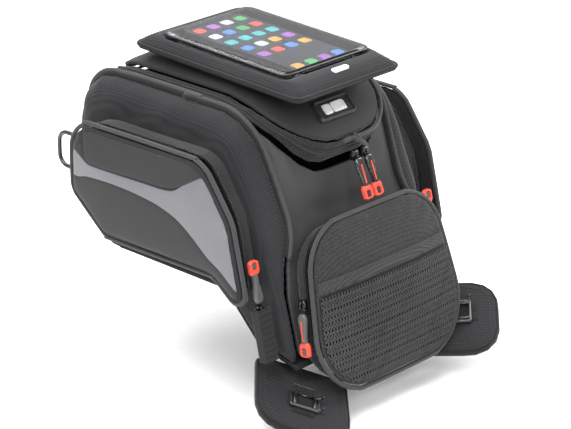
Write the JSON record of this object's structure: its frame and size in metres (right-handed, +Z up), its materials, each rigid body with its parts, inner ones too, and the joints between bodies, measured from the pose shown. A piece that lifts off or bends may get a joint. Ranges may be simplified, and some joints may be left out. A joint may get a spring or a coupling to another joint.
{
  "type": "motorcycle tank bag",
  "caption": "Padded motorcycle tank bag with zipped lid, clear phone sleeve on top, side and rider-end pockets, piped seams and magnet flaps.",
  "frame": {"origin": "middle of the flat underside of the base, where the bag rests on the tank", "axes": "+Z up through the lid, -Y towards the rider, +Y towards the handlebars, +X to the rider's right when facing forward"},
  "size_m": [0.2891, 0.3776, 0.3008],
  "materials": {
    "body_cloth": "woven, matt",
    "smooth_cloth": "smooth coated cloth, satin",
    "lid_cloth": "textured, matt",
    "piping_cloth": "bound piping, satin",
    "webbing": "ribbed webbing, matt",
    "mesh_cloth": "open diamond mesh",
    "elastic": "ribbed elastic",
    "foam": "soft foam",
    "zip": "reverse coil",
    "slider_metal": "black, glossy",
    "puller_plastic": "moulded rubbery gloss with an orange-red tip",
    "hardware": "moulded acetal, satin",
    "badge_rubber": "moulded, satin",
    "base_rubber": "soft non-slip sheet",
    "board": "stiffener sheet",
    "window": "clear glossy film",
    "magnet": "plated"
  },
  "bodies": {
    "bag": {"base_panel": "base_rubber", "base_board": "board", "rider_panel": "smooth_cloth", "handlebar_panel": "body_cloth", "zip_band": "lid_cloth", "main_zip_coil": "zip", "rider_pocket_gusset": "body_cloth", "front_strap": "webbing", "front_strap_buckle": "hardware", "side_panel_left": "body_cloth", "side_panel_right": "body_cloth", "main_piping_left": "piping_cloth", "main_piping_right": "piping_cloth", "side_pocket_gusset_left": "body_cloth", "side_pocket_gusset_right": "body_cloth", "side_pocket_garage_left": "body_cloth", "side_pocket_garage_right": "body_cloth", "ring_tab_left": "webbing", "ring_tab_right": "webbing"},
    "lid": {"lid_panel": "lid_cloth", "lid_piping": "piping_cloth", "lid_badge": "badge_rubber", "holder_hook_patch": "webbing"},
    "phone_holder": {"holder_back": "body_cloth", "holder_wall": "body_cloth", "holder_window": "window", "holder_rim": "body_cloth", "holder_loop_patch": "webbing"},
    "rider_pocket": {"rider_pocket_cover": "body_cloth", "rider_pocket_piping": "piping_cloth", "rider_mesh": "mesh_cloth", "rider_mesh_band": "elastic"},
    "rider_slider": {"rider_pocket_slider": "slider_metal"},
    "rider_puller": {"rider_pocket_puller": "puller_plastic"},
    "side_pocket_left": {"side_pocket_cover_left": "body_cloth", "side_pocket_piping_left": "piping_cloth"},
    "side_slider_left": {"side_pocket_slider_left": "slider_metal"},
    "side_puller_left": {"side_pocket_puller_left": "puller_plastic"},
    "main_slider_left": {"main_slider_left": "slider_metal"},
    "main_puller_left": {"main_puller_left": "puller_plastic"},
    "ring_left": {"ring_left": "hardware"},
    "flap_left": {"flap_base_left": "base_rubber", "flap_padding_left": "foam", "flap_magnet_left": "magnet", "flap_cover_left": "body_cloth", "flap_webbing_left": "webbing", "flap_buckle_left": "hardware"},
    "side_pocket_right": {"side_pocket_cover_right": "body_cloth", "side_pocket_piping_right": "piping_cloth"},
    "side_slider_right": {"side_pocket_slider_right": "slider_metal"},
    "side_puller_right": {"side_pocket_puller_right": "puller_plastic"},
    "main_slider_right": {"main_slider_right": "slider_metal"},
    "main_puller_right": {"main_puller_right": "puller_plastic"},
    "ring_right": {"ring_right": "hardware"},
    "flap_right": {"flap_base_right": "base_rubber", "flap_padding_right": "foam", "flap_magnet_right": "magnet", "flap_cover_right": "body_cloth", "flap_webbing_right": "webbing", "flap_buckle_right": "hardware"}
  },
  "joints": [
    {"name": "lid_hinge", "type": "hinge", "parent": "bag", "child": "lid", "pos_m": [0, 0.116, 0.152], "axis": [-1, 0, 0], "range_deg": [0, 100]},
    {"name": "phone_holder_lift", "type": "slide", "parent": "lid", "child": "phone_holder", "axis": [0, -0.0349, 0.9994], "range_m": [0, 0.06]},
    {"name": "rider_pocket_hinge", "type": "hinge", "parent": "bag", "child": "rider_pocket", "pos_m": [0, -0.17669, -0.07386], "axis": [1, 0, 0], "range_deg": [0, 40]},
    {"name": "rider_zip_slide", "type": "slide", "parent": "bag", "child": "rider_slider", "axis": [-0.129, -0.2561, -0.958], "range_m": [-0.016, 0.03]},
    {"name": "rider_puller_swing", "type": "hinge", "parent": "rider_slider", "child": "rider_puller", "pos_m": [-0.09099, -0.14911, 0.00218], "axis": [0, 0.9661, -0.2583], "range_deg": [0, 85]},
    {"name": "side_pocket_hinge_left", "type": "hinge", "parent": "bag", "child": "side_pocket_left", "pos_m": [-0.122, 0, 0.00999], "axis": [0, -1, 0], "range_deg": [0, 45]},
    {"name": "side_zip_slide_left", "type": "slide", "parent": "bag", "child": "side_slider_left", "axis": [0, 0.2311, 0.9729], "range_m": [0, 0.055]},
    {"name": "side_puller_swing_left", "type": "hinge", "parent": "side_slider_left", "child": "side_puller_left", "pos_m": [-0.114, -0.11956, 0.01081], "axis": [1, 0, 0], "range_deg": [0, 85]},
    {"name": "main_zip_slide_left", "type": "slide", "parent": "bag", "child": "main_slider_left", "axis": [-1, 0, 0], "range_m": [0, 0.02]},
    {"name": "main_puller_swing_left", "type": "hinge", "parent": "main_slider_left", "child": "main_puller_left", "pos_m": [0.004, -0.12494, 0.11151], "axis": [-1, 0, 0], "range_deg": [0, 100]},
    {"name": "ring_swing_left", "type": "hinge", "parent": "bag", "child": "ring_left", "pos_m": [-0.08525, 0.1402, 0.072], "axis": [0, 0, 1], "range_deg": [-60, 60]},
    {"name": "side_pocket_hinge_right", "type": "hinge", "parent": "bag", "child": "side_pocket_right", "pos_m": [0.122, 0, 0.00999], "axis": [0, 1, 0], "range_deg": [0, 45]},
    {"name": "side_zip_slide_right", "type": "slide", "parent": "bag", "child": "side_slider_right", "axis": [0, 0.2311, 0.9729], "range_m": [0, 0.055]},
    {"name": "side_puller_swing_right", "type": "hinge", "parent": "side_slider_right", "child": "side_puller_right", "pos_m": [0.114, -0.11956, 0.01081], "axis": [1, 0, 0], "range_deg": [0, 85]},
    {"name": "main_zip_slide_right", "type": "slide", "parent": "bag", "child": "main_slider_right", "axis": [1, 0, 0], "range_m": [0, 0.02]},
    {"name": "main_puller_swing_right", "type": "hinge", "parent": "main_slider_right", "child": "main_puller_right", "pos_m": [0.017, -0.12494, 0.11151], "axis": [-1, 0, 0], "range_deg": [0, 100]},
    {"name": "ring_swing_right", "type": "hinge", "parent": "bag", "child": "ring_right", "pos_m": [0.08525, 0.1402, 0.072], "axis": [0, 0, 1], "range_deg": [-60, 60]},
    {"name": "flap_hinge_left", "type": "hinge", "parent": "bag", "child": "flap_left", "pos_m": [-0.096, -0.107, -0.052], "axis": [-0.6933, 0.624, 0.3605], "range_deg": [-30, 12]},
    {"name": "flap_hinge_right", "type": "hinge", "parent": "bag", "child": "flap_right", "pos_m": [0.096, -0.107, -0.052], "axis": [-0.6933, -0.624, -0.3605], "range_deg": [-45, 0]}
  ]
}
